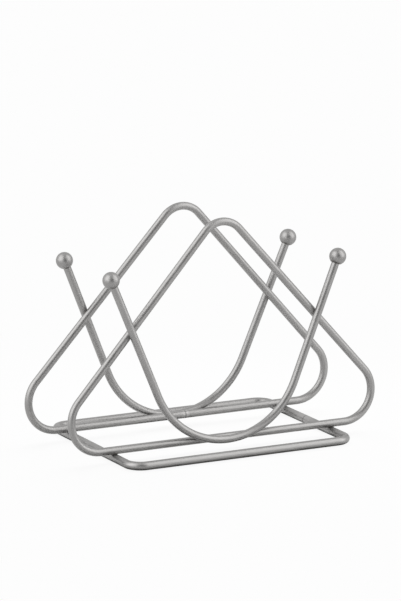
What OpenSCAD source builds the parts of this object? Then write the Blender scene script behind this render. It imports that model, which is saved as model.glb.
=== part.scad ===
// Napkin holder of welded round wire. Two rounded triangles stand on a rectangular base frame
// and lean a little towards each other. A U of wire with a ball on each end is welded to the
// outer side of each triangle. Nothing on it moves.
// Millimetres, +Z up, +X along the slot for the napkins, -Y the front. The origin is on the
// table, under the middle of the base frame.

/* [Wire] */
// Diameter of the wire of the triangles and the U wires
wire_d = 4; // [3:0.1:5]
// Diameter of the heavier wire of the base frame
base_wire_d = 4.4; // [3.4:0.1:6]
// How far two crossing wires sink into each other where they are welded
weld_sink = 0.35; // [0.2:0.05:0.6]
// Radius of the weld metal that fills the corners of a crossing
weld_r = 1.8; // [1.4:0.1:2.2]

/* [Base frame] */
// How far each short side lies in from the end of the straight bottom run that it carries
foot_inset = 7.9; // [4:0.1:20]
// Depth of the base frame from front to back, over the wire
base_depth = 97; // [86:1:120]
// Radius of its four corners, at the middle of the wire
base_corner_r = 7.5; // [6:0.5:10]

/* [Triangles] */
// Width of a triangle over its two rounded lower corners
triangle_width = 175; // [150:1:200]
// Height of a triangle, from under its bottom run to its top
triangle_height = 114.5; // [105:0.5:130]
// Radius of the lower corners, at the middle of the wire
triangle_corner_r = 15.8; // [12:0.1:18]
// Radius of the top, at the middle of the wire
triangle_top_r = 12.9; // [10:0.1:18]
// Clear space for the napkins between the two bottom runs
slot_width = 46.3; // [30:0.1:56]
// How far each triangle leans towards the other, in degrees
lean = 1.6; // [0:0.1:3]

/* [U wires] */
// Radius of the round bottom of a U, at the middle of the wire
u_bend_r = 42; // [36:0.5:46]
// Angle between an arm and the upright, in degrees
u_arm_angle = 22.4; // [16:0.1:28]
// Length of an arm, from the end of the bend to the middle of its ball
u_arm_length = 66.8; // [56:0.1:80]
// How far the U hangs below the triangle's bottom run, between the middles of the wires
u_drop = 0.5; // [0.2:0.1:1]

/* [Balls] */
// Diameter of a ball
ball_d = 8.7; // [7:0.1:12]
// Depth of the blind hole that takes the end of an arm
ball_hole_depth = 5.2; // [3.5:0.1:6]
// Gap all round between the end of an arm and the wall of its hole
ball_hole_gap = 0.05; // [0.03:0.01:0.1]
// Width of the bevel at the mouth of the hole
ball_mouth_bevel = 0.3; // [0.1:0.05:0.5]

/* [Hidden] */
$fn = 64;

// Colours of the satin steel, and of the weld metal, which is a little darker
steel = [0.63, 0.63, 0.62];
weld_metal = [0.45, 0.45, 0.44];

// A wire gets this much thinner all round where it is bent, and a straight length runs this
// far into the bend
bend_thinning = 0.01;
bend_overlap = 0.1;
// How far a cut runs past the surface that it starts from
overrun = 1;

// Triangle, in its own plane: x to the right and y up from the middle of its bottom run.
// Each side touches a lower corner bend and the top bend, so its angle follows from both.
corner_x = triangle_width / 2 - wire_d / 2 - triangle_corner_r;
top_y = triangle_height - wire_d - triangle_top_r;
right_corner = [corner_x, triangle_corner_r];
left_corner = [-corner_x, triangle_corner_r];
top_corner = [0, top_y];
corner_to_top = top_corner - right_corner;
side_angle = atan2(corner_to_top[1], corner_to_top[0])
    - acos((triangle_corner_r - triangle_top_r) / norm(corner_to_top));
side_normal = [cos(side_angle), sin(side_angle)];

// Base frame, in plan: middles of its long rails, short sides and corner bends. The short
// sides lie under the straight length of the triangles' bottom runs.
base_rail_y = (base_depth - base_wire_d) / 2;
base_side_x = corner_x - foot_inset;
base_bend_x = base_side_x - base_corner_r;
base_bend_y = base_rail_y - base_corner_r;
base_wire_z = base_wire_d / 2;

// Bottom run of a triangle, welded on top of the base frame's short sides
run_y = (slot_width + wire_d) / 2;
run_z = base_wire_d + wire_d / 2 - weld_sink;

// U wire, in the same plane but this far out from the triangle
u_out = wire_d - weld_sink;
u_centre = [0, u_bend_r - u_drop];
u_sweep = 180 - 2 * u_arm_angle;
arm_direction = [sin(u_arm_angle), cos(u_arm_angle)];
arm_start = on_circle(u_centre, u_bend_r, -u_arm_angle);
ball_at = arm_start + u_arm_length * arm_direction;
arm_end = ball_at + (ball_hole_depth - ball_d / 2 - ball_hole_gap) * arm_direction;

// The round bottom and the bottom run lie almost side by side, so both wires are pressed flat
// where they meet, half-way between them, out to where they part
parting_y = sqrt(wire_d * wire_d - u_out * u_out);
parting_rise = u_bend_r - u_drop - parting_y;
flat_end_x = sqrt(u_bend_r * u_bend_r - parting_rise * parting_rise);

// Middles of the welds between a U and its triangle, on the right-hand half
side_distance = side_normal * right_corner + triangle_corner_r;
arm_to_side = (side_distance - side_normal * arm_start) / (side_normal * arm_direction);
side_weld_at = arm_start + arm_to_side * arm_direction;
bottom_weld_at = [sqrt(u_bend_r * u_bend_r - u_centre[1] * u_centre[1]), 0];

function on_circle(centre, radius, angle) = centre + radius * [cos(angle), sin(angle)];

// Straight wire between two points of the plane
module straight(from, to, diameter) {
    run = to - from;
    translate([from[0], from[1], 0])
        rotate([0, 0, atan2(run[1], run[0])])
            translate([-bend_overlap, 0, 0])
                rotate([0, 90, 0])
                    cylinder(h = norm(run) + 2 * bend_overlap, d = diameter);
}

// Wire bent round a point of the plane
module bend(centre, radius, start, sweep, diameter) {
    translate([centre[0], centre[1], 0])
        rotate([0, 0, start])
            rotate_extrude(angle = sweep)
                translate([radius, 0])
                    circle(d = diameter - 2 * bend_thinning);
}

// Moves a drawing of the front triangle's plane to its place, or to the rear one's
module in_front() {
    translate([0, -run_y, run_z])
        rotate([90 - lean, 0, 0])
            children();
}

module at_rear() {
    mirror([0, 1, 0])
        in_front()
            children();
}

// Draws a thing on the right-hand half, and its mirror image on the left
module on_both_halves() {
    children();
    mirror([1, 0, 0])
        children();
}

// The base frame's two short sides, which the triangles stand on
module base_sides() {
    translate([0, 0, base_wire_z])
        on_both_halves()
            straight([base_side_x, -base_bend_y], [base_side_x, base_bend_y], base_wire_d);
}

// Closed rectangle of wire with round corners, flat on the table
module base_frame() {
    color(steel)
        union() {
            base_sides();
            translate([0, 0, base_wire_z]) {
                for (y = [-base_rail_y, base_rail_y])
                    straight([-base_bend_x, y], [base_bend_x, y], base_wire_d);
                bend([base_bend_x, base_bend_y], base_corner_r, 0, 90, base_wire_d);
                bend([-base_bend_x, base_bend_y], base_corner_r, 90, 90, base_wire_d);
                bend([-base_bend_x, -base_bend_y], base_corner_r, 180, 90, base_wire_d);
                bend([base_bend_x, -base_bend_y], base_corner_r, 270, 90, base_wire_d);
            }
        }
}

// The straight lengths of a triangle, in its own plane
module bottom_run() {
    straight([-corner_x, 0], [corner_x, 0], wire_d);
}

module triangle_sides() {
    on_both_halves()
        straight(
            on_circle(right_corner, triangle_corner_r, side_angle),
            on_circle(top_corner, triangle_top_r, side_angle),
            wire_d
        );
}

// Closed triangle of wire with round corners, in its own plane
module triangle_loop() {
    union() {
        bottom_run();
        triangle_sides();
        bend(right_corner, triangle_corner_r, -90, 90 + side_angle, wire_d);
        bend(top_corner, triangle_top_r, side_angle, 180 - 2 * side_angle, wire_d);
        bend(left_corner, triangle_corner_r, 180 - side_angle, 90 + side_angle, wire_d);
    }
}

// What is pressed away on one side of the plane half-way between the U and the bottom run
module pressed_flat(from_z) {
    translate([-flat_end_x, -wire_d - overrun, from_z])
        cube([2 * flat_end_x, 2 * (wire_d + overrun), wire_d + overrun]);
}

// The front triangle, seated on the base frame's short sides
module front_triangle() {
    color(steel)
        difference() {
            in_front()
                difference() {
                    triangle_loop();
                    pressed_flat(u_out / 2);
                }
            base_sides();
        }
}

// The rear triangle is the front one's mirror image
module rear_triangle() {
    mirror([0, 1, 0])
        front_triangle();
}

// The round bottom and the two arms of a U, in the triangle's plane but out from it
module u_bow() {
    translate([0, 0, u_out])
        union() {
            bend(u_centre, u_bend_r, u_arm_angle - 180, u_sweep, wire_d);
            on_both_halves()
                straight(arm_start, arm_end - bend_overlap * arm_direction, wire_d);
        }
}

// A U wire, seated on the triangle's bottom run and on its two sides
module u_wire() {
    color(steel)
        difference() {
            u_bow();
            pressed_flat(u_out / 2 - wire_d - overrun);
            triangle_sides();
        }
}

module front_u_wire() {
    in_front()
        u_wire();
}

module rear_u_wire() {
    at_rear()
        u_wire();
}

// Ball on the end of a right-hand arm, in the triangle's plane: a blind hole takes the wire,
// and a bevel opens its mouth
module ball() {
    hole_r = wire_d / 2 + ball_hole_gap;
    mouth_r = hole_r + ball_mouth_bevel;
    mouth_z = -sqrt(ball_d * ball_d / 4 - mouth_r * mouth_r);
    color(steel)
        translate([ball_at[0], ball_at[1], u_out])
            rotate([-90, 0, -u_arm_angle])
                difference() {
                    sphere(d = ball_d);
                    translate([0, 0, -ball_d / 2 - overrun])
                        cylinder(h = ball_hole_depth + overrun, r = hole_r);
                    translate([0, 0, mouth_z])
                        cylinder(h = ball_mouth_bevel, r1 = mouth_r, r2 = hole_r);
                    translate([0, 0, mouth_z - overrun])
                        cylinder(h = overrun, r = mouth_r);
                }
}

module front_right_ball() {
    in_front()
        ball();
}

module front_left_ball() {
    mirror([1, 0, 0])
        front_right_ball();
}

module rear_right_ball() {
    at_rear()
        ball();
}

module rear_left_ball() {
    mirror([1, 0, 0])
        rear_right_ball();
}

// Weld metal in the corners where the front triangle crosses the base frame's short sides
module front_foot_welds() {
    difference() {
        on_both_halves()
            translate([base_side_x, -run_y, base_wire_d - weld_sink / 2])
                sphere(r = weld_r);
        base_sides();
        in_front()
            bottom_run();
    }
}

module foot_welds() {
    color(weld_metal) {
        front_foot_welds();
        mirror([0, 1, 0])
            front_foot_welds();
    }
}

// Weld metal round one point and its mirror image, between a U and its triangle
module u_weld_pair(at) {
    difference() {
        on_both_halves()
            translate([at[0], at[1], u_out / 2])
                sphere(r = weld_r);
        bottom_run();
        triangle_sides();
        u_bow();
    }
}

// Where the arms of each U cross the sides of its triangle
module side_welds() {
    color(weld_metal) {
        in_front()
            u_weld_pair(side_weld_at);
        at_rear()
            u_weld_pair(side_weld_at);
    }
}

// Where the round bottom of each U crosses its triangle's bottom run
module bottom_welds() {
    color(weld_metal) {
        in_front()
            u_weld_pair(bottom_weld_at);
        at_rear()
            u_weld_pair(bottom_weld_at);
    }
}

base_frame();
front_triangle();
rear_triangle();
front_u_wire();
rear_u_wire();
front_left_ball();
front_right_ball();
rear_left_ball();
rear_right_ball();
foot_welds();
side_welds();
bottom_welds();
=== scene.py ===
"""Napkin holder of welded satin stainless steel wire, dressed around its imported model."""
import math
from types import SimpleNamespace

import bmesh
import bpy
from bpy.props import FloatProperty, FloatVectorProperty, IntProperty, PointerProperty
from mathutils import Matrix, Vector


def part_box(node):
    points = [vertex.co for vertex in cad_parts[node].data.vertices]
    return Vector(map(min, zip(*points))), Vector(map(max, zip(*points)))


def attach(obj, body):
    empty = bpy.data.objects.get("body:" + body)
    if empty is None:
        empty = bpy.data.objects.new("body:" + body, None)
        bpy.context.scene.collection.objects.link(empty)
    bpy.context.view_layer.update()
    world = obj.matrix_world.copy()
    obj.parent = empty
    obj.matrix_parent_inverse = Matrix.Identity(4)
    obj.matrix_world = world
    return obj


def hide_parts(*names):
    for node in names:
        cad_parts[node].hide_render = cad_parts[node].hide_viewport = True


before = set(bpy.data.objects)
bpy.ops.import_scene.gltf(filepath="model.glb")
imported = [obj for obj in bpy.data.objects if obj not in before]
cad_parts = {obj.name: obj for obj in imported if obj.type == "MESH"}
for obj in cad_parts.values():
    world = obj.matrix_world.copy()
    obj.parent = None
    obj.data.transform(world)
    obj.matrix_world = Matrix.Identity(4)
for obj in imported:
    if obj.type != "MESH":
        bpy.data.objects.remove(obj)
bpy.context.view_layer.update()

bl_info = {
    "name": "Wire napkin holder",
    "version": (1, 0, 0),
    "blender": (4, 5, 0),
    "location": "3D View > Sidebar > Napkin holder",
    "description": "Builds a napkin holder of welded satin steel wire, and a plain studio for it",
    "category": "Add Mesh",
}

MM = 0.001
FULL_TURN = 2 * math.pi
QUARTER_TURN = math.pi / 2
BODY = "root"
FRONT, REAR = -1, 1
LEFT, RIGHT = -1, 1
UP = Vector((0.0, 0.0, 1.0))


def linear(hex_colour):
    """Turns an sRGB hex colour to linear red, green and blue."""
    parts = [int(hex_colour[start:start + 2], 16) / 255 for start in (1, 3, 5)]
    return tuple(part / 12.92 if part <= 0.04045 else ((part + 0.055) / 1.055) ** 2.4
                 for part in parts)


def length(label, text, millimetres):
    """A property for a length, with its default in millimetres."""
    return FloatProperty(name=label, description=text, default=millimetres * MM, min=0.0,
                         unit="LENGTH", precision=6)


def angle(label, text, degrees):
    """A property for an angle, with its default in degrees."""
    return FloatProperty(name=label, description=text, default=math.radians(degrees),
                         unit="ROTATION", precision=4)


def colour(label, text, hex_colour):
    """A property for a colour, with its default as an sRGB hex value."""
    return FloatVectorProperty(name=label, description=text, default=linear(hex_colour),
                               subtype="COLOR", min=0.0, max=1.0)


def share(label, text, default):
    """A property for a share of something, from 0 to 1."""
    return FloatProperty(name=label, description=text, default=default, min=0.0, max=1.0,
                         subtype="FACTOR")


def count(label, text, default):
    """A property for a number of sides or steps."""
    return IntProperty(name=label, description=text, default=default, min=3, max=192)


class HolderSizes(bpy.types.PropertyGroup):
    """Sizes of the wires and balls, the same as the part's source has"""
    wire_diameter: length("Wire diameter", "Wire of the triangles and the U wires", 4.0)
    base_wire_diameter: length("Base wire diameter", "Heavier wire of the base frame", 4.4)
    weld_sink: length("Weld sink", "How far two crossing wires sink into each other", 0.35)
    foot_inset: length("Foot inset", "From a bottom run's end in to the short side under it", 7.9)
    base_depth: length("Base depth", "Base frame from front to back", 97.0)
    base_corner_radius: length("Base corner radius", "At the middle of the wire", 7.5)
    triangle_width: length("Triangle width", "Over the two lower corners", 175.0)
    triangle_height: length("Triangle height", "From under the bottom run to the top", 114.5)
    triangle_corner_radius: length("Lower corner radius", "At the middle of the wire", 15.8)
    triangle_top_radius: length("Top radius", "At the middle of the wire", 12.9)
    slot_width: length("Slot width", "Clear space between the two bottom runs", 46.3)
    lean: angle("Lean", "How far each triangle leans inward", 1.6)
    u_bend_radius: length("U bend radius", "Round bottom, at the middle of the wire", 42.0)
    u_arm_angle: angle("U arm angle", "Between an arm and the upright", 22.4)
    u_arm_length: length("U arm length", "From the end of the bend to the middle of the ball", 66.8)
    u_drop: length("U drop", "How far the U hangs below the bottom run", 0.5)
    ball_diameter: length("Ball diameter", "Balls on the ends of the arms", 8.7)
    ball_hole_depth: length("Ball hole depth", "Blind hole for the end of an arm", 5.2)
    ball_hole_gap: length("Ball hole gap", "Between the wire and the wall of its hole", 0.05)
    ball_mouth_bevel: length("Ball mouth bevel", "Bevel at the mouth of the hole", 0.3)


class HolderDetail(bpy.types.PropertyGroup):
    """Small things that only show close up, and how finely the pieces are meshed"""
    base_weld_at: length("Base butt weld", "Behind the middle of the right short side", 0.4)
    rear_weld_at: length("Rear butt weld", "Right of the middle of the rear bottom run", 3.5)
    front_weld_at: length("Front butt weld", "Left of the middle of the front bottom run", 8.8)
    base_ground: length("Ground length of the base", "To either side of its butt weld", 14.0)
    triangle_ground: length("Ground length of a triangle", "To either side of its butt weld", 3.0)
    seam_half: length("Butt seam half width", "Of the dark seam of a butt weld", 0.65)
    weld_rise: length("Butt weld rise", "How far a ground butt weld stands proud", 0.02)
    end_chamfer: length("End chamfer", "At the cut end of an arm, inside its ball", 0.4)
    neck_depth: length("Neck depth", "Of the open ring round an arm where it enters a ball", 0.9)
    neck_width: length("Neck width", "Of that ring, at the bottom of it", 0.15)
    fillet_gap: length("Fillet gap", "Gap between two wires where the weld metal ends", 0.42)
    bottom_fillet_radius: length("Bottom fillet radius", "Of the welds under and over a U", 0.7)
    bottom_fillet_half: length("Bottom fillet half length", "Of the welds under and over a U", 1.7)
    # Painted shade: how far the darkening of the crevices reaches, out from a foot weld and from a
    # ball's mouth
    foot_heat_reach: length("Foot heat reach", "How far a foot weld has darkened the wires", 2.4)
    neck_heat_reach: length("Neck heat reach", "How far a neck's seam has darkened a ball", 1.1)
    wire_sides: count("Wire sides", "Sides round a wire", 48)
    arc_step: angle("Arc step", "Turn from one ring of a bent wire to the next", 2.0)
    straight_steps: count("Straight steps", "Along a straight stretch of wire, or beside a seam", 8)
    ball_rings: count("Ball rings", "From the top of a ball to its mouth", 40)
    ball_sides: count("Ball sides", "Sides round a ball", 64)
    fillet_sides: count("Fillet sides", "Sides of the fillet round a crossing", 48)
    fillet_slices: count("Fillet slices", "Along a weld under or over a U", 24)
    fillet_steps: count("Fillet steps", "Across the face of a fillet", 6)


class HolderFinish(bpy.types.PropertyGroup):
    """Colours, gloss and texture of the metal"""
    wire_steel: colour("Wire steel", "Satin stainless steel of the wires", "#979695")
    ball_steel: colour("Ball steel", "Satin stainless steel of the balls", "#949392")
    # Painted shade: the dark, slightly brown colour that the crevices at the foot welds and round a
    # ball's mouth are drawn towards. At a foot weld part of it is the tint that welding left
    heated: colour("Heated steel", "Darkest tone that welding has left beside a seam", "#595653")
    weld: colour("Weld metal", "Weld metal in the corners of a crossing", "#6C6966")
    wire_roughness: share("Wire roughness", "Roughness of the satin wire", 0.42)
    ball_roughness: share("Ball roughness", "Roughness of the balls", 0.42)
    weld_roughness: share("Weld roughness", "Roughness of weld metal", 0.55)
    grain_size: length("Grain size", "Of the dimples of the satin finish", 0.35)
    grain_depth: length("Grain depth", "Of those dimples", 0.006)
    grain_tone: share("Grain tone", "How far the grain moves the tone, either way", 0.10)
    line_width: length("Line width", "Of the drawing lines along a wire", 0.4)
    line_length: length("Line length", "Of the drawing lines along a wire", 9.0)
    line_share: share("Line share", "Share of those lines in a wire's texture", 0.35)
    cloud_size: length("Cloud size", "Of the slow unevenness of the satin finish", 8.0)
    cloud_tone: share("Cloud tone", "How far the clouds move the tone, either way", 0.05)
    cloud_gloss: share("Cloud gloss", "How far the clouds move the roughness, either way", 0.03)
    lump_size: length("Lump size", "Of the lumps on weld metal", 0.33)
    lump_depth: length("Lump depth", "Of those lumps", 0.04)
    lump_gloss: share("Lump gloss", "How far the lumps move the roughness, either way", 0.08)
    ground_tone: share("Ground tone", "How much brighter grinding leaves a butt weld", 0.28)
    seam_tone: share("Seam tone", "How much darker the seam of a butt weld is", 0.75)
    # Painted shade: how strongly the crevices at the foot welds and round a ball's mouth are
    # darkened. At a foot weld this also holds the brown tint of welding
    base_heat: share("Base heat", "How heated the base frame is at a foot weld", 0.3)
    triangle_heat: share("Triangle heat", "How heated a triangle is at a foot weld", 0.15)
    neck_heat: share("Neck heat", "How heated a ball is at its mouth", 1.0)


class StudioSettings(bpy.types.PropertyGroup):
    """Camera, lamps, floor and wall"""
    camera_azimuth: angle("Camera azimuth", "Round the object, from the front", -27.6579)
    camera_elevation: angle("Camera elevation", "Above the horizon", 12.6567)
    camera_roll: angle("Camera roll", "Turn about the line of sight", 0.2255)
    camera_distance: length("Camera distance", "From the point that it looks at", 2342.44)
    camera_aim: FloatVectorProperty(name="Camera aim", description="Point that the camera looks at",
                                    default=(-0.36 * MM, 0.19 * MM, 71.52 * MM), unit="LENGTH",
                                    precision=6)
    camera_lens: FloatProperty(name="Camera lens", description="Focal length in millimetres",
                               default=276.62, min=10.0, max=1000.0)
    camera_sensor: FloatProperty(name="Camera sensor", description="Its width in millimetres",
                                 default=36.0, min=1.0, max=100.0)
    camera_near: length("Camera near", "Nearest distance that the camera shows", 100.0)
    camera_far: length("Camera far", "Farthest distance that the camera shows", 20000.0)
    lamp_distance: length("Lamp distance", "From the point that the camera looks at", 1600.0)
    ambient: FloatProperty(name="Ambient light", description="Strength of the world's own light",
                           default=0.10, min=0.0, max=4.0)
    paper: colour("Paper", "Floor", "#FDFDFD")
    floor_radius: length("Floor radius", "Of the round sheet of paper", 3000.0)
    lit_share: share("Lit share", "Share of lit paper in what the camera sees of it", 0.06)
    lit_to: length("Lit to", "Distance from the middle out to which that share holds", 50.0)
    white_from: length("White from", "Distance from where the paper is plain white", 250.0)
    wall_azimuth: angle("Wall azimuth", "Round the object, from the front", -1.0)
    wall_elevation: angle("Wall elevation", "Above the horizon", 33.5)
    wall_half_width: angle("Wall half width", "As the object sees it", 46.0)
    wall_distance: length("Wall distance", "From the point that the camera looks at", 3000.0)
    wall_tone: share("Wall tone", "Brightness of the dark wall", 0.15)


# Places of the wires


def polar(centre, radius, turn):
    """Point on a circle of the plane."""
    return centre + radius * Vector((math.cos(turn), math.sin(turn)))


def layout(sizes):
    """Works out where everything is, in metres, as the part's source does."""
    plan = SimpleNamespace()
    plan.wire_radius = sizes.wire_diameter / 2
    plan.base_radius = sizes.base_wire_diameter / 2
    low_radius, top_radius = sizes.triangle_corner_radius, sizes.triangle_top_radius
    corner_x = sizes.triangle_width / 2 - plan.wire_radius - low_radius
    plan.right_corner = Vector((corner_x, low_radius))
    plan.left_corner = Vector((-corner_x, low_radius))
    plan.top_corner = Vector((0.0, sizes.triangle_height - sizes.wire_diameter - top_radius))
    to_top = plan.top_corner - plan.right_corner
    plan.side_angle = math.atan2(to_top.y, to_top.x) - math.acos(
        (low_radius - top_radius) / to_top.length)
    plan.base_side_x = corner_x - sizes.foot_inset
    plan.base_rail_y = (sizes.base_depth - sizes.base_wire_diameter) / 2
    plan.run_y = (sizes.slot_width + sizes.wire_diameter) / 2
    plan.run_z = sizes.base_wire_diameter + plan.wire_radius - sizes.weld_sink
    plan.u_out = sizes.wire_diameter - sizes.weld_sink
    plan.u_centre = Vector((0.0, sizes.u_bend_radius - sizes.u_drop))
    plan.arm_direction = Vector((math.sin(sizes.u_arm_angle), math.cos(sizes.u_arm_angle)))
    plan.arm_start = polar(plan.u_centre, sizes.u_bend_radius, -sizes.u_arm_angle)
    plan.ball_at = plan.arm_start + sizes.u_arm_length * plan.arm_direction
    plan.arm_end = plan.ball_at + plan.arm_direction * (
        sizes.ball_hole_depth - sizes.ball_diameter / 2 - sizes.ball_hole_gap)
    plan.side_direction = Vector((-math.sin(plan.side_angle), math.cos(plan.side_angle)))
    outward = Vector((math.cos(plan.side_angle), math.sin(plan.side_angle)))
    reach = outward.dot(plan.right_corner) + low_radius
    plan.side_weld_at = plan.arm_start + plan.arm_direction * (
        (reach - outward.dot(plan.arm_start)) / outward.dot(plan.arm_direction))
    plan.bottom_weld_x = math.sqrt(sizes.u_bend_radius ** 2 - plan.u_centre.y ** 2)
    plan.foot_welds = [Vector((hand * plan.base_side_x, side * plan.run_y,
                               sizes.base_wire_diameter))
                       for side in (FRONT, REAR) for hand in (LEFT, RIGHT)]
    tilt = Matrix.Translation((0, -plan.run_y, plan.run_z)) @ Matrix.Rotation(
        QUARTER_TURN - sizes.lean, 4, "X")
    plan.plane = {FRONT: tilt, REAR: Matrix.Diagonal((1, -1, 1, 1)) @ tilt}
    return plan


def line(start, end):
    """A straight length of wire."""
    return ("line", start, end)


def bend(centre, radius, start, end):
    """A bent length of wire, from one angle to another."""
    return ("bend", centre, radius, start, end)


def even_steps(far, steps):
    """Evenly spaced distances from 0, which is left out, to far."""
    return [far * step / steps for step in range(1, steps + 1)]


def trace(lengths, detail, closed, ground=0.0):
    """Points along lengths of wire, close together in the bends, at the ends and next to a butt
    weld, which lies where a closed wire starts."""
    touching = 0.0001 * MM
    points = []
    for index, part in enumerate(lengths):
        if part[0] == "bend":
            _, centre, radius, start, end = part
            steps = math.ceil(abs(end - start) / detail.arc_step)
            added = [polar(centre, radius, start + (end - start) * step / steps)
                     for step in range(steps + 1)]
        else:
            _, start, end = part
            run = (end - start).length
            stops = {0.0, *even_steps(run, detail.straight_steps)}
            fine = even_steps(2 * detail.seam_half, detail.straight_steps)
            if ground:
                fine += even_steps(ground, detail.straight_steps)
            if index == 0:
                stops |= set(fine)
            if index == len(lengths) - 1:
                stops |= {run - distance for distance in fine}
            added = [start.lerp(end, distance / run) for distance in sorted(stops)]
        points += [spot for spot in added
                   if not points or (spot - points[-1]).length > touching]
    if closed and (points[0] - points[-1]).length < touching:
        points.pop()
    return points


# Making pieces


def fill_inputs(tree, node, inputs):
    """Gives a node's inputs values or other nodes' outputs. A node stands for its first output."""
    for key, value in inputs.items():
        if isinstance(value, bpy.types.Node):
            value = value.outputs[0]
        if isinstance(value, bpy.types.NodeSocket):
            tree.links.new(value, node.inputs[key])
        else:
            node.inputs[key].default_value = value


def add_node(tree, kind, inputs=None, **settings):
    """Adds a node, sets it up and fills its inputs."""
    node = tree.nodes.new(kind)
    for name, value in settings.items():
        setattr(node, name, value)
    fill_inputs(tree, node, inputs or {})
    return node


def swept_wire_tree():
    """Geometry Nodes that sweep a round wire along a path and shape its ends or its butt weld."""
    tree = bpy.data.node_groups.new("Swept wire", "GeometryNodeTree")
    sockets = (("Path", "Geometry"), ("Wire Radius", "Float"), ("Path Length", "Float"),
               ("End Reach", "Float"), ("End Rise", "Float"), ("Butt Welded", "Float"),
               ("Seam Half", "Float"), ("Sides Around", "Int"), ("Metal", "Material"))
    for name, kind in sockets:
        tree.interface.new_socket(name, in_out="INPUT", socket_type="NodeSocket" + kind)
    tree.interface.new_socket("Wire", in_out="OUTPUT", socket_type="NodeSocketGeometry")
    given = tree.nodes.new("NodeGroupInput").outputs
    along = add_node(tree, "GeometryNodeInputNamedAttribute", {"Name": "along"}, data_type="FLOAT")
    to_far_end = add_node(tree, "ShaderNodeMath", {0: given["Path Length"], 1: along},
                          operation="SUBTRACT")
    to_end = add_node(tree, "ShaderNodeMath", {0: along, 1: to_far_end}, operation="MINIMUM")
    # Marks are 1 at the path's ends, and fall to 0 over a chamfer or ground zone, or half a seam
    marked = given["Path"]
    marks = {}
    for name, curve, reach in (("weld_ground", "SMOOTHERSTEP", given["End Reach"]),
                               ("weld_seam", "SMOOTHSTEP", given["Seam Half"])):
        marks[name] = add_node(tree, "ShaderNodeMapRange",
                               {"Value": to_end, "From Max": reach, "To Min": 1.0, "To Max": 0.0},
                               interpolation_type=curve)
        value = add_node(tree, "ShaderNodeMath", {0: marks[name], 1: given["Butt Welded"]},
                         operation="MULTIPLY")
        marked = add_node(tree, "GeometryNodeStoreNamedAttribute",
                          {"Geometry": marked, "Name": name, "Value": value},
                          data_type="FLOAT", domain="POINT")
    radius = add_node(tree, "ShaderNodeMath",
                      {0: marks["weld_ground"], 1: given["End Rise"], 2: given["Wire Radius"]},
                      operation="MULTIPLY_ADD")
    path = add_node(tree, "GeometryNodeMeshToCurve", {"Mesh": marked})
    circle = add_node(tree, "GeometryNodeCurvePrimitiveCircle",
                      {"Resolution": given["Sides Around"], "Radius": 1.0})
    place = add_node(tree, "GeometryNodeInputPosition")
    around = add_node(tree, "ShaderNodeVectorMath", {0: place, "Scale": given["Wire Radius"]},
                      operation="SCALE")
    profile = add_node(tree, "GeometryNodeStoreNamedAttribute",
                       {"Geometry": circle, "Name": "around", "Value": around},
                       data_type="FLOAT_VECTOR", domain="POINT")
    swept = add_node(tree, "GeometryNodeCurveToMesh",
                     {"Curve": path, "Profile Curve": profile, "Scale": radius,
                      "Fill Caps": True})
    real = add_node(tree, "GeometryNodeRealizeInstances", {"Geometry": swept})
    wire = add_node(tree, "GeometryNodeSetMaterial",
                    {"Geometry": real, "Material": given["Metal"]})
    add_node(tree, "NodeGroupOutput", {0: wire})
    return tree


def link_piece(name, mesh):
    """An object for a finished mesh, whose place is in the mesh."""
    piece = bpy.data.objects.new(name, mesh)
    bpy.context.scene.collection.objects.link(piece)
    return piece


def face_outwards(mesh, crease=math.radians(40)):
    """Turns every closed shell's faces outwards and shades it smooth up to its creases."""
    work = bmesh.new()
    work.from_mesh(mesh)
    bmesh.ops.recalc_face_normals(work, faces=work.faces)
    work.to_mesh(mesh)
    work.free()
    mesh.shade_smooth()
    mesh.set_sharp_from_angle(angle=crease)


def shell_piece(name, vertices, faces, metal):
    """A piece made of closed shells given by their corners and faces."""
    mesh = bpy.data.meshes.new(name)
    mesh.from_pydata(vertices, [], faces)
    if mesh.validate():
        raise RuntimeError(f"{name}: its mesh has faults")
    face_outwards(mesh)
    mesh.materials.append(metal)
    return link_piece(name, mesh)


def wire_piece(name, points, closed, radius, end_reach, end_rise, metal, detail):
    """Sweeps a wire along points, with Geometry Nodes, and makes it a mesh."""
    last = len(points) - 1
    edges = [(index, index + 1) for index in range(last)] + ([(last, 0)] if closed else [])
    path = bpy.data.meshes.new(name + "_path")
    path.from_pydata([tuple(spot) for spot in points], edges, [])
    along = [0.0]
    for spot, following in zip(points, points[1:]):
        along.append(along[-1] + (following - spot).length)
    total = along[-1] + ((points[0] - points[-1]).length if closed else 0.0)
    path.attributes.new("along", "FLOAT", "POINT").data.foreach_set("value", along)
    carrier = bpy.data.objects.new(name + "_path", path)
    bpy.context.scene.collection.objects.link(carrier)
    tree = bpy.data.node_groups.get("Swept wire") or swept_wire_tree()
    sweep = carrier.modifiers.new("Swept wire", "NODES")
    sweep.node_group = tree
    values = {"Wire Radius": radius, "Path Length": total, "End Reach": end_reach,
              "End Rise": end_rise, "Butt Welded": 1.0 if closed else 0.0,
              "Seam Half": detail.seam_half, "Sides Around": detail.wire_sides,
              "Metal": metal}
    for socket in tree.interface.items_tree:
        if socket.item_type == "SOCKET" and socket.name in values:
            sweep[socket.identifier] = values[socket.name]
    evaluated = carrier.evaluated_get(bpy.context.evaluated_depsgraph_get())
    mesh = bpy.data.meshes.new_from_object(evaluated)
    mesh.name = name
    carrier.modifiers.clear()
    bpy.data.objects.remove(carrier)
    bpy.data.meshes.remove(path)
    face_outwards(mesh)
    return link_piece(name, mesh)


def heat_mark(piece, distance, reach, most):
    """Stores on a piece how far its colour is painted darker and browner, falling off with each
    point's distance to a crevice: painted crevice shade, and at a foot weld also the brown tint
    that welding left.
    """
    heat = [most * math.exp(-(distance(vertex.co) / reach) ** 2)
            for vertex in piece.data.vertices]
    piece.data.attributes.new("weld_heat", "FLOAT", "POINT").data.foreach_set("value", heat)


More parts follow.
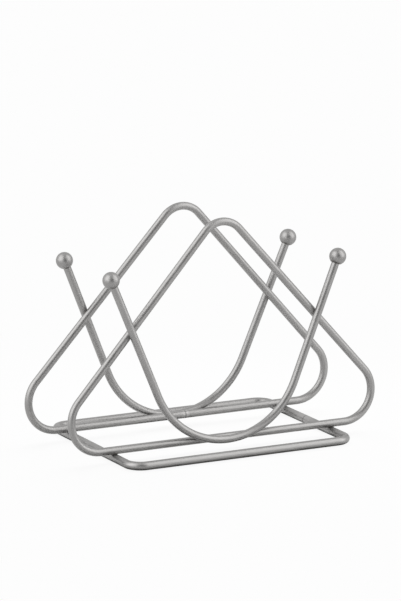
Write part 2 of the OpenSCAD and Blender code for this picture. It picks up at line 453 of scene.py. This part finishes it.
def from_nearest(places):
    """A function that gives a point's distance to the nearest of some places."""
    return lambda spot: min((spot - place).length for place in places)


def from_circle(centre, axis, radius):
    """A function that gives a point's distance to a circle."""
    def distance(spot):
        height = (spot - centre).dot(axis)
        return math.hypot(height, (spot - centre - axis * height).length - radius)
    return distance


def seat(piece, node, slack=0.2 * MM):
    """Puts a piece in the place of a CAD node, and stops if it doesn't fill the same space."""
    low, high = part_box(node)
    corners = [vertex.co for vertex in piece.data.vertices]
    for axis in range(3):
        values = [corner[axis] for corner in corners]
        if abs(min(values) - low[axis]) > slack or abs(max(values) - high[axis]) > slack:
            raise RuntimeError(f"{piece.name} isn't where the node {node} is, on axis {axis}")
    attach(piece, BODY)
    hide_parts(node)


# Metals


def new_metal(name):
    """A new material that is metal all over."""
    metal = bpy.data.materials.new(name)
    metal.use_nodes = True
    metal.node_tree.nodes["Principled BSDF"].inputs["Metallic"].default_value = 1.0
    return metal


def clad(metal, tint, roughness, bump):
    """Gives a metal its colour, roughness and bump, and returns it."""
    fill_inputs(metal.node_tree, metal.node_tree.nodes["Principled BSDF"],
                {"Base Color": tint, "Roughness": roughness, "Normal": bump})
    return metal


def satin_metal(name, finish, steel, roughness, on_wire):
    """Satin stainless steel: cold drawn, bent and welded, then finely blasted and brushed. The eye
    sees a soft, even grey sheen with no clear reflection, a fine grain, and along a wire the faint
    lines of its drawing."""
    metal = new_metal(name)
    tree = metal.node_tree
    place = add_node(tree, "ShaderNodeTexCoord").outputs["Object"]
    # Blasting leaves dimples of about 0.1 mm, drawn larger than that so that they show
    texture = add_node(tree, "ShaderNodeTexNoise",
                       {"Vector": place, "Scale": 1 / finish.grain_size, "Detail": 2.0,
                        "Roughness": 0.6}).outputs["Fac"]
    # The finish is a little uneven over several millimetres
    cloud = add_node(tree, "ShaderNodeTexNoise",
                     {"Vector": place, "Scale": 1 / finish.cloud_size,
                      "Detail": 2.0}).outputs["Fac"]
    if on_wire:
        around = add_node(tree, "ShaderNodeAttribute", attribute_name="around").outputs["Vector"]
        along = add_node(tree, "ShaderNodeAttribute", attribute_name="along").outputs["Fac"]
        split = add_node(tree, "ShaderNodeSeparateXYZ", {0: around}).outputs
        # Drawing lines are about 0.05 mm apart and long, drawn wider than that so that they show
        stretched = {}
        for axis, value, size in ((0, split[0], finish.line_width),
                                  (1, split[1], finish.line_width),
                                  (2, along, finish.line_length)):
            stretched[axis] = add_node(tree, "ShaderNodeMath", {0: value, 1: 1 / size},
                                       operation="MULTIPLY")
        on_lines = add_node(tree, "ShaderNodeCombineXYZ", stretched)
        lines = add_node(tree, "ShaderNodeTexNoise",
                         {"Vector": on_lines, "Scale": 1.0, "Detail": 1.0}).outputs["Fac"]
        texture = add_node(tree, "ShaderNodeMix",
                           {"Factor": finish.line_share, "A": texture, "B": lines},
                           data_type="FLOAT").outputs["Result"]
    # Grain and clouds move the tone a little either way, and the clouds the roughness too. Each
    # noise mostly keeps within a half spread of its middle, 0.5
    moved = []
    for pattern, half_spread, middle, change in ((texture, 0.25, 1.0, finish.grain_tone),
                                                 (cloud, 0.2, 1.0, finish.cloud_tone),
                                                 (cloud, 0.2, roughness, finish.cloud_gloss)):
        moved.append(add_node(tree, "ShaderNodeMapRange",
                              {"Value": pattern, "From Min": 0.5 - half_spread,
                               "From Max": 0.5 + half_spread, "To Min": middle - change,
                               "To Max": middle + change}))
    grain_tone, cloud_tone, polish = moved
    shade = add_node(tree, "ShaderNodeMath", {0: grain_tone, 1: cloud_tone}, operation="MULTIPLY")
    if on_wire:
        # A butt weld is a dark seam, and grinding has left the wire beside it a shade brighter
        for mark, change in (("weld_ground", finish.ground_tone),
                             ("weld_seam", -finish.seam_tone)):
            marked = add_node(tree, "ShaderNodeAttribute", attribute_name=mark).outputs["Fac"]
            shade = add_node(tree, "ShaderNodeMath", {0: marked, 1: change, 2: shade},
                             operation="MULTIPLY_ADD")
    tint = add_node(tree, "ShaderNodeVectorMath", {0: tuple(steel), "Scale": shade},
                    operation="SCALE")
    # Painted shade: in the crevices at the foot welds and round a ball's mouth the steel is drawn
    # darker and browner. At a foot weld part of it is the brown tint that welding left
    heat = add_node(tree, "ShaderNodeAttribute", attribute_name="weld_heat").outputs["Fac"]
    browning = tuple(dimmed - cold for cold, dimmed in zip(steel, finish.heated))
    tint = add_node(tree, "ShaderNodeVectorMath", {0: browning, 1: heat, 2: tint},
                    operation="MULTIPLY_ADD")
    bump = add_node(tree, "ShaderNodeBump",
                    {"Height": texture, "Strength": 0.6, "Distance": finish.grain_depth})
    return clad(metal, tint, polish, bump)


def weld_metal(name, finish):
    """Resistance weld metal, pickled but not ground. The eye sees a small, dull, darker grey
    fillet with a lumpy skin."""
    metal = new_metal(name)
    tree = metal.node_tree
    place = add_node(tree, "ShaderNodeTexCoord").outputs["Object"]
    # The lumps are brighter on top than in the hollows between them
    lumps = add_node(tree, "ShaderNodeTexNoise",
                     {"Vector": place, "Scale": 1 / finish.lump_size,
                      "Detail": 3.0}).outputs["Fac"]
    moved = []
    for low, high in ((0.75, 1.1), (finish.weld_roughness - finish.lump_gloss,
                                    finish.weld_roughness + finish.lump_gloss)):
        moved.append(add_node(tree, "ShaderNodeMapRange",
                              {"Value": lumps, "From Min": 0.3, "From Max": 0.7,
                               "To Min": low, "To Max": high}))
    shade, dull = moved
    tint = add_node(tree, "ShaderNodeVectorMath", {0: tuple(finish.weld), "Scale": shade},
                    operation="SCALE")
    bump = add_node(tree, "ShaderNodeBump",
                    {"Height": lumps, "Strength": 0.8, "Distance": finish.lump_depth})
    return clad(metal, tint, dull, bump)


def metal_of(context, kind):
    """The wire's, the balls' or the welds' material, made when it is first asked for."""
    finish = context.scene.holder_finish
    name = {"wire": "Satin stainless steel, drawn wire",
            "ball": "Satin stainless steel, blasted ball",
            "weld": "Pickled weld metal"}[kind]
    if name in bpy.data.materials:
        return bpy.data.materials[name]
    if kind == "wire":
        return satin_metal(name, finish, finish.wire_steel, finish.wire_roughness, True)
    if kind == "ball":
        return satin_metal(name, finish, finish.ball_steel, finish.ball_roughness, False)
    return weld_metal(name, finish)


# Pieces


def holder_settings(context):
    """The holder's sizes, small things and finish, and the places worked out from its sizes."""
    scene = context.scene
    return (scene.holder_sizes, scene.holder_detail, scene.holder_finish,
            layout(scene.holder_sizes))


class BaseFrame(bpy.types.Operator):
    """Make the base frame: a closed rectangle of the heavier wire, flat on the table"""
    bl_idname = "napkin_holder.base_frame"
    bl_label = "Base frame"

    def execute(self, context):
        sizes, detail, finish, plan = holder_settings(context)
        bend_radius = sizes.base_corner_radius
        centre_x, centre_y = plan.base_side_x - bend_radius, plan.base_rail_y - bend_radius
        start = Vector((plan.base_side_x, detail.base_weld_at))
        lengths = []
        reached = start
        for corner, (right, back) in enumerate(((1, 1), (-1, 1), (-1, -1), (1, -1))):
            centre = Vector((right * centre_x, back * centre_y))
            turn = corner * QUARTER_TURN
            lengths.append(line(reached, polar(centre, bend_radius, turn)))
            lengths.append(bend(centre, bend_radius, turn, turn + QUARTER_TURN))
            reached = polar(centre, bend_radius, turn + QUARTER_TURN)
        lengths.append(line(reached, start))
        points = [Vector((spot.x, spot.y, plan.base_radius))
                  for spot in trace(lengths, detail, True, detail.base_ground)]
        piece = wire_piece("base_frame_wire", points, True, plan.base_radius, detail.base_ground,
                           detail.weld_rise, metal_of(context, "wire"), detail)
        # Painted crevice shade, with welding's brown tint, on the base frame round each foot weld
        heat_mark(piece, from_nearest(plan.foot_welds), detail.foot_heat_reach, finish.base_heat)
        seat(piece, "base_frame")
        return {"FINISHED"}


class Triangles(bpy.types.Operator):
    """Make the front and the rear triangle, each a closed loop of wire with round corners"""
    bl_idname = "napkin_holder.triangles"
    bl_label = "Triangles"

    def execute(self, context):
        sizes, detail, finish, plan = holder_settings(context)
        low_radius, top_radius = sizes.triangle_corner_radius, sizes.triangle_top_radius
        right, top, left = plan.right_corner, plan.top_corner, plan.left_corner
        right_turn, left_turn = plan.side_angle, math.pi - plan.side_angle
        for side, word, weld_x in ((FRONT, "front", -detail.front_weld_at),
                                   (REAR, "rear", detail.rear_weld_at)):
            weld = Vector((weld_x, 0.0))
            lengths = [
                line(weld, Vector((right.x, 0.0))),
                bend(right, low_radius, -QUARTER_TURN, right_turn),
                line(polar(right, low_radius, right_turn), polar(top, top_radius, right_turn)),
                bend(top, top_radius, right_turn, left_turn),
                line(polar(top, top_radius, left_turn), polar(left, low_radius, left_turn)),
                bend(left, low_radius, left_turn, 3 * QUARTER_TURN),
                line(Vector((left.x, 0.0)), weld),
            ]
            points = [plan.plane[side] @ Vector((spot.x, spot.y, 0.0))
                      for spot in trace(lengths, detail, True, detail.triangle_ground)]
            piece = wire_piece(word + "_triangle_wire", points, True, plan.wire_radius,
                               detail.triangle_ground, detail.weld_rise,
                               metal_of(context, "wire"), detail)
            # Painted crevice shade, with welding's brown tint, on a triangle round each foot weld
            heat_mark(piece, from_nearest(plan.foot_welds), detail.foot_heat_reach,
                      finish.triangle_heat)
            seat(piece, word + "_triangle")
        return {"FINISHED"}


class UWires(bpy.types.Operator):
    """Make the front and the rear U wire, with a round bottom and two straight arms"""
    bl_idname = "napkin_holder.u_wires"
    bl_label = "U wires"

    def execute(self, context):
        sizes, detail, _, plan = holder_settings(context)
        mirror = Matrix.Diagonal((-1, 1))
        lengths = [
            line(mirror @ plan.arm_end, mirror @ plan.arm_start),
            bend(plan.u_centre, sizes.u_bend_radius, sizes.u_arm_angle - math.pi,
                 -sizes.u_arm_angle),
            line(plan.arm_start, plan.arm_end),
        ]
        for side, word in ((FRONT, "front"), (REAR, "rear")):
            points = [plan.plane[side] @ Vector((spot.x, spot.y, plan.u_out))
                      for spot in trace(lengths, detail, False)]
            piece = wire_piece(word + "_u_bent_wire", points, False, plan.wire_radius,
                               detail.end_chamfer, -detail.end_chamfer,
                               metal_of(context, "wire"), detail)
            seat(piece, word + "_u_wire")
        return {"FINISHED"}


def turned_shell(centre, axis, first, profile, last, sides):
    """A closed shell turned round an axis. Its profile is a list of radii and heights, between a
    first and a last height on the axis."""
    across = axis.orthogonal().normalized()
    third = axis.cross(across)
    vertices = [centre + axis * first, centre + axis * last]
    for radius, height in profile:
        for side in range(sides):
            turn = FULL_TURN * side / sides
            vertices.append(centre + axis * height
                            + radius * (across * math.cos(turn) + third * math.sin(turn)))
    rings = [2 + row * sides for row in range(len(profile))]
    faces = []
    for side in range(sides):
        after = (side + 1) % sides
        faces.append((0, rings[0] + side, rings[0] + after))
        faces.append((1, rings[-1] + after, rings[-1] + side))
        for upper, lower in zip(rings, rings[1:]):
            faces.append((upper + side, lower + side, lower + after, upper + after))
    return vertices, faces


class Balls(bpy.types.Operator):
    """Make the four balls, each bored and bevelled where an arm's end goes in"""
    bl_idname = "napkin_holder.balls"
    bl_label = "Balls"

    def execute(self, context):
        sizes, detail, finish, plan = holder_settings(context)
        ball_radius, hole_radius = sizes.ball_diameter / 2, plan.wire_radius + sizes.ball_hole_gap
        mouth_radius = hole_radius + sizes.ball_mouth_bevel
        mouth_turn = math.pi - math.asin(mouth_radius / ball_radius)
        mouth_z = ball_radius * math.cos(mouth_turn)
        neck_z = mouth_z + detail.neck_depth
        hole_z = sizes.ball_hole_depth - ball_radius
        profile = [(ball_radius * math.sin(turn), ball_radius * math.cos(turn))
                   for turn in even_steps(mouth_turn, detail.ball_rings)]
        profile += [(plan.wire_radius + detail.neck_width, neck_z), (hole_radius, neck_z),
                    (hole_radius, hole_z)]
        for side, depth_word in ((FRONT, "front"), (REAR, "rear")):
            plane = plan.plane[side]
            for hand, side_word in ((LEFT, "left"), (RIGHT, "right")):
                centre = plane @ Vector((hand * plan.ball_at.x, plan.ball_at.y, plan.u_out))
                axis = (plane.to_3x3() @ Vector(
                    (hand * plan.arm_direction.x, plan.arm_direction.y, 0.0))).normalized()
                vertices, faces = turned_shell(centre, axis, ball_radius, profile, hole_z,
                                               detail.ball_sides)
                piece = shell_piece(f"{depth_word}_{side_word}_bored_ball", vertices, faces,
                                    metal_of(context, "ball"))
                # Painted shade in the recess round the arm: the ball is darkened and browned at its
                # mouth
                heat_mark(piece, from_circle(centre + axis * mouth_z, axis, mouth_radius),
                          detail.neck_heat_reach, finish.neck_heat)
                seat(piece, f"{depth_word}_{side_word}_ball")
        return {"FINISHED"}


# How deep the edges and the middle of a fillet's shell lie inside the wires, and how hollow its
# face is, as a share of the gap between them
FILLET_EDGE_DEPTH, FILLET_CORE_DEPTH, FILLET_HOLLOW = 0.04 * MM, 0.3 * MM, 0.45


def faces_between(rows, size, looped):
    """Faces between neighbouring rows of corners, where each row is a loop."""
    pairs = [(row, row + 1) for row in range(rows - 1)] + ([(rows - 1, 0)] if looped else [])
    faces = []
    for here, beside in pairs:
        for step in range(size):
            after = (step + 1) % size
            faces.append((here * size + step, beside * size + step,
                          beside * size + after, here * size + after))
    return faces


def uneven(turn, seed):
    """How much more or less weld metal there is at a turn round a crossing, about 1."""
    amount = 1.0
    # Each swell's height, how many there are round the ring, and how far the seed turns them
    for height, waves, shift in ((0.10, 3, 1.0), (0.07, 7, 2.3)):
        amount += height * math.sin(waves * turn + shift * seed)
    return amount


def crossing_fillet(middle, normal, low_axis, high_axis, low_radius, high_radius, apart, seed,
                    detail):
    """A ring of weld metal that fills the corner all round where two wires cross. middle lies
    half-way between their axes, and normal points from the low wire to the high one. The ring is
    a closed shell whose inner side lies inside the wires."""
    across = low_axis.normalized()
    third = normal.cross(across).normalized()
    sides, steps = detail.fillet_sides, detail.fillet_steps
    nearest, farthest, advance = 0.5 * MM, 0.97 * min(low_radius, high_radius), 0.01 * MM
    core_share = 0.4

    def surfaces(reach, turn):
        """Heights of the low wire's upper side and of the high wire's lower side."""
        spot = across * (math.cos(turn) * reach) + third * (math.sin(turn) * reach)
        from_low = (spot - low_axis * spot.dot(low_axis)).length
        from_high = (spot - high_axis * spot.dot(high_axis)).length
        return (-apart / 2 + math.sqrt(max(low_radius ** 2 - from_low ** 2, 0.0)),
                apart / 2 - math.sqrt(max(high_radius ** 2 - from_high ** 2, 0.0)))

    vertices = []
    for side in range(sides):
        turn = FULL_TURN * side / sides
        outer = nearest
        while outer < farthest:
            low, high = surfaces(outer, turn)
            if high - low >= detail.fillet_gap * uneven(turn, seed):
                break
            outer += advance
        dip = FILLET_HOLLOW * (high - low)
        row = []
        for step in range(steps + 1):
            rise = 2 * step / steps - 1
            reach = outer - dip * (1 - rise * rise)
            low, high = surfaces(reach, turn)
            height = low + (high - low) * (rise + 1) / 2
            if step == 0:
                height = low - FILLET_EDGE_DEPTH
            elif step == steps:
                height = high + FILLET_EDGE_DEPTH
            row.append((reach, height))
        core = core_share * outer
        low, high = surfaces(core, turn)
        row += [(core, high + FILLET_CORE_DEPTH), (core, low - FILLET_CORE_DEPTH)]
        vertices += [middle + across * (math.cos(turn) * reach) + third * (math.sin(turn) * reach)
                     + normal * height for reach, height in row]
    return vertices, faces_between(sides, len(row), True)


def groove_fillet(plane, at_x, upper, plan, sizes, detail, seed):
    """A spindle of weld metal over or under the place where a round bottom crosses its bottom
    run, in the groove between the two wires. It is a closed shell that ends inside them."""
    slices, steps, wire_radius = detail.fillet_slices, detail.fillet_steps, plan.wire_radius
    least_radius, swell, waves = 0.02 * MM, 0.08, 9
    vertices = []
    for index in range(slices + 1):
        along = 2 * index / slices - 1
        x = at_x + along * detail.bottom_fillet_half
        ripple = 1 + swell * math.sin(waves * along + seed)
        radius = max(detail.bottom_fillet_radius * math.sqrt(max(1 - along * along, 0.0)) * ripple,
                     least_radius)
        run = Vector((0.0, 0.0))
        bottom = Vector((plan.u_centre.y - math.sqrt(sizes.u_bend_radius ** 2 - x * x),
                         plan.u_out))
        between = bottom - run
        half = between.length / 2
        away = Vector((between.y, -between.x)).normalized() * upper
        centre = (run + bottom) / 2 + away * math.sqrt((wire_radius + radius) ** 2 - half ** 2)
        start = run + (centre - run) * (wire_radius / (wire_radius + radius))
        end = bottom + (centre - bottom) * (wire_radius / (wire_radius + radius))
        row = []
        for step in range(steps + 1):
            spot = start.lerp(end, step / steps)
            spot = centre + (spot - centre).normalized() * radius
            if step == 0:
                spot += (run - spot).normalized() * FILLET_EDGE_DEPTH
            elif step == steps:
                spot += (bottom - spot).normalized() * FILLET_EDGE_DEPTH
            row.append(spot)
        row.append((run + bottom) / 2
                   + away * (math.sqrt(wire_radius ** 2 - half ** 2) - FILLET_CORE_DEPTH))
        vertices += [plane @ Vector((x, spot.x, spot.y)) for spot in row]
    size = len(row)
    caps = [tuple(range(first, first + size)) for first in (0, slices * size)]
    return vertices, faces_between(slices + 1, size, False) + caps


def join_shells(shells):
    """One list of corners and one of faces for several closed shells."""
    vertices, faces = [], []
    for corners, sides in shells:
        faces += [tuple(len(vertices) + corner for corner in side) for side in sides]
        vertices += corners
    return vertices, faces


class Welds(bpy.types.Operator):
    """Make the weld metal in the corners of every crossing"""
    bl_idname = "napkin_holder.welds"
    bl_label = "Welds"
    # How far the fillets' reach may differ from that of the plain welds in the CAD
    slack = 0.8 * MM

    def execute(self, context):
        sizes, detail, _, plan = holder_settings(context)
        wire_radius, base_radius = plan.wire_radius, plan.base_radius
        foot_apart = base_radius + wire_radius - sizes.weld_sink
        foot, sides, bottoms = [], [], []
        for side in (FRONT, REAR):
            plane = plan.plane[side]
            turn = plane.to_3x3()
            out = (turn @ UP).normalized()
            for hand in (LEFT, RIGHT):
                # Any numbers do that give each crossing lumps of its own
                seed = 1.0 + side * 0.7 + hand * 0.4
                middle = Vector((hand * plan.base_side_x, side * plan.run_y,
                                 base_radius + foot_apart / 2))
                foot.append(crossing_fillet(middle, UP, Vector((0.0, 1.0, 0.0)),
                                            Vector((1.0, 0.0, 0.0)), base_radius, wire_radius,
                                            foot_apart, seed, detail))
                axes = [(turn @ Vector((hand * way.x, way.y, 0.0))).normalized()
                        for way in (plan.side_direction, plan.arm_direction)]
                middle = plane @ Vector((hand * plan.side_weld_at.x, plan.side_weld_at.y,
                                         plan.u_out / 2))
                sides.append(crossing_fillet(middle, out, *axes, wire_radius, wire_radius,
                                             plan.u_out, seed, detail))
                for upper in (-1, 1):
                    bottoms.append(groove_fillet(plane, hand * plan.bottom_weld_x, upper, plan,
                                                 sizes, detail, seed + upper))
        for shells, name, node in ((foot, "foot_weld_fillets", "foot_welds"),
                                   (sides, "side_weld_fillets", "side_welds"),
                                   (bottoms, "bottom_weld_fillets", "bottom_welds")):
            vertices, faces = join_shells(shells)
            piece = shell_piece(name, vertices, faces, metal_of(context, "weld"))
            seat(piece, node, self.slack)
        return {"FINISHED"}


# Studio


def direction(azimuth, elevation):
    """Unit vector towards a place round the object, 0 being the front and 90 the right."""
    return Vector((math.sin(azimuth) * math.cos(elevation),
                   -math.cos(azimuth) * math.cos(elevation), math.sin(elevation)))


def facing(back):
    """The turn of a camera, a lamp or a wall that looks along the opposite of back."""
    return back.to_track_quat("Z", "Y").to_matrix().to_4x4()


def stage_disc(name, place, radius, sides, paint_name):
    """A flat round piece of the stage, and the node tree of its material, which is still bare.
    The material isn't counted as a lamp, so that it adds no grain to the render."""
    mesh = bpy.data.meshes.new(name)
    turns = [FULL_TURN * side / sides for side in range(sides)]
    mesh.from_pydata([place @ Vector((radius * math.cos(turn), radius * math.sin(turn), 0.0))
                      for turn in turns], [], [tuple(range(sides))])
    paint = bpy.data.materials.new(paint_name)
    paint.use_nodes = True
    paint.cycles.emission_sampling = "NONE"
    paint.node_tree.nodes.remove(paint.node_tree.nodes["Principled BSDF"])
    mesh.materials.append(paint)
    return link_piece(name, mesh), paint.node_tree


def seen_directly(tree):
    """1 for the rays that show the background: the camera's, and those off or through a thing."""
    path = add_node(tree, "ShaderNodeLightPath").outputs
    seen = path["Is Camera Ray"]
    for ray in ("Is Glossy Ray", "Is Transmission Ray"):
        seen = add_node(tree, "ShaderNodeMath", {0: seen, 1: path[ray]}, operation="MAXIMUM")
    return seen


class Studio(bpy.types.Operator):
    """Make the camera, a white floor and background, and soft lamps"""
    bl_idname = "napkin_holder.studio"
    bl_label = "Studio"
    # Softboxes: name, azimuth, elevation, width and height in degrees, brightness of its face,
    # and whether it is for the metal or for the paper
    lamps = (
        ("left_softbox", -86.5, 35.5, 69.0, 63.5, 1.57, "metal"),
        ("right_softbox", 41.5, 34.0, 55.0, 69.0, 1.92, "metal"),
        ("paper_softbox", 140.0, 56.0, 60.0, 60.0, 4.4, "paper"),
    )
    floor_sides, wall_sides = 96, 64

    def execute(self, context):
        scene = context.scene
        view = scene.holder_studio
        aim = Vector(view.camera_aim)
        self.place_camera(scene, view, aim)
        self.lay_floor(view)
        self.hang_lamps(scene, view, aim)
        self.raise_wall(view, aim)
        self.light_world(scene, view)
        scene.view_settings.view_transform = "Standard"
        return {"FINISHED"}

    def place_camera(self, scene, view, aim):
        """The camera that the photograph was taken with, as far as it can be told."""
        lens = bpy.data.cameras.new("photograph_view")
        lens.sensor_width = view.camera_sensor
        lens.lens = view.camera_lens
        lens.clip_start = view.camera_near
        lens.clip_end = view.camera_far
        camera = bpy.data.objects.new("photograph_view", lens)
        scene.collection.objects.link(camera)
        back = direction(view.camera_azimuth, view.camera_elevation)
        camera.matrix_world = (Matrix.Translation(aim + back * view.camera_distance)
                               @ facing(back) @ Matrix.Rotation(view.camera_roll, 4, "Z"))
        scene.camera = camera

    def lay_floor(self, view):
        """The round sheet of white paper that the holder stands on."""
        floor, tree = stage_disc("paper_floor", Matrix.Identity(4), view.floor_radius,
                                 self.floor_sides, "White matt paper")
        place = add_node(tree, "ShaderNodeTexCoord").outputs["Object"]
        far = add_node(tree, "ShaderNodeVectorMath", {0: place},
                       operation="LENGTH").outputs["Value"]
        # The paper is plain white further off. Near the object it is lit, so that its shadow
        # stays: a little of what the camera sees there, and all of what the metal reflects
        mirrored = add_node(tree, "ShaderNodeLightPath").outputs["Is Glossy Ray"]
        near = add_node(tree, "ShaderNodeMapRange",
                        {"Value": mirrored, "To Min": 1.0 - view.lit_share, "To Max": 0.0})
        white_share = add_node(tree, "ShaderNodeMapRange",
                               {"Value": far, "From Min": view.lit_to,
                                "From Max": view.white_from, "To Min": near, "To Max": 1.0},
                               interpolation_type="SMOOTHSTEP")
        shown = add_node(tree, "ShaderNodeMath", {0: white_share, 1: seen_directly(tree)},
                         operation="MULTIPLY")
        paper = (*view.paper, 1.0)
        lit = add_node(tree, "ShaderNodeBsdfDiffuse", {"Color": paper})
        white = add_node(tree, "ShaderNodeEmission", {"Color": paper, "Strength": 1.0})
        both = add_node(tree, "ShaderNodeMixShader", {0: shown, 1: lit, 2: white})
        fill_inputs(tree, tree.nodes["Material Output"], {"Surface": both})

    def hang_lamps(self, scene, view, aim):
        """Softboxes, which the camera doesn't see."""
        for name, azimuth, elevation, width, height, brightness, lit in self.lamps:
            light = bpy.data.lights.new(name, "AREA")
            light.shape = "RECTANGLE"
            light.size = 2 * view.lamp_distance * math.tan(math.radians(width / 2))
            light.size_y = 2 * view.lamp_distance * math.tan(math.radians(height / 2))
            # A lamp's power, for a face that is as bright as asked from every side
            light.energy = brightness * math.pi * light.size * light.size_y
            lamp = bpy.data.objects.new(name, light)
            scene.collection.objects.link(lamp)
            back = direction(math.radians(azimuth), math.radians(elevation))
            lamp.matrix_world = Matrix.Translation(aim + back * view.lamp_distance) @ facing(back)
            lamp.visible_camera = False
            # The paper's lamp lights the floor alone, and the others light all but the floor
            receivers = bpy.data.collections.new(name + "_and_floor")
            receivers.objects.link(bpy.data.objects["paper_floor"])
            state = "INCLUDE" if lit == "paper" else "EXCLUDE"
            receivers.collection_objects[0].light_linking.link_state = state
            lamp.light_linking.receiver_collection = receivers

    def raise_wall(self, view, aim):
        """The dark grey wall behind the camera, which the metal reflects as a soft dark band."""
        back = direction(view.wall_azimuth, view.wall_elevation)
        place = Matrix.Translation(aim + back * view.wall_distance) @ facing(back)
        radius = view.wall_distance * math.tan(view.wall_half_width)
        wall, tree = stage_disc("dark_wall", place, radius, self.wall_sides,
                                "Dark grey wall paint")
        wall.visible_camera = wall.visible_diffuse = wall.visible_shadow = False
        tone = add_node(tree, "ShaderNodeEmission", {"Strength": view.wall_tone})
        fill_inputs(tree, tree.nodes["Material Output"], {"Surface": tone})

    def light_world(self, scene, view):
        """A background that looks white and gives only a little light."""
        world = bpy.data.worlds.new("White studio")
        world.use_nodes = True
        scene.world = world
        tree = world.node_tree
        tree.nodes.clear()
        paper = (*view.paper, 1.0)
        soft, shown = [add_node(tree, "ShaderNodeBackground", {"Color": paper, "Strength": power})
                       for power in (view.ambient, 1.0)]
        both = add_node(tree, "ShaderNodeMixShader", {0: seen_directly(tree), 1: soft, 2: shown})
        add_node(tree, "ShaderNodeOutputWorld", {"Surface": both})


class HolderPanel(bpy.types.Panel):
    """Shows every setting, and a button for each operator"""
    bl_idname = "NAPKIN_HOLDER_PT_panel"
    bl_label = "Napkin holder"
    bl_space_type = "VIEW_3D"
    bl_region_type = "UI"
    bl_category = "Napkin holder"

    def draw(self, context):
        for group, name in GROUPS.items():
            box = self.layout.box()
            for key in group.__annotations__:
                box.prop(getattr(context.scene, name), key)
        for operator in OPERATORS:
            self.layout.operator(operator.bl_idname)


GROUPS = {HolderSizes: "holder_sizes", HolderDetail: "holder_detail",
          HolderFinish: "holder_finish", StudioSettings: "holder_studio"}
OPERATORS = (BaseFrame, Triangles, UWires, Balls, Welds, Studio)


def register():
    for entry in (*GROUPS, *OPERATORS, HolderPanel):
        bpy.utils.register_class(entry)
    for group, name in GROUPS.items():
        setattr(bpy.types.Scene, name, PointerProperty(type=group))


def unregister():
    for name in GROUPS.values():
        delattr(bpy.types.Scene, name)
    for entry in reversed((*GROUPS, *OPERATORS, HolderPanel)):
        bpy.utils.unregister_class(entry)


def main():
    """Builds the holder and its studio."""
    register()
    bpy.ops.napkin_holder.base_frame()
    bpy.ops.napkin_holder.triangles()
    bpy.ops.napkin_holder.u_wires()
    bpy.ops.napkin_holder.balls()
    bpy.ops.napkin_holder.welds()
    bpy.ops.napkin_holder.studio()


if __name__ == "__main__":
    main()
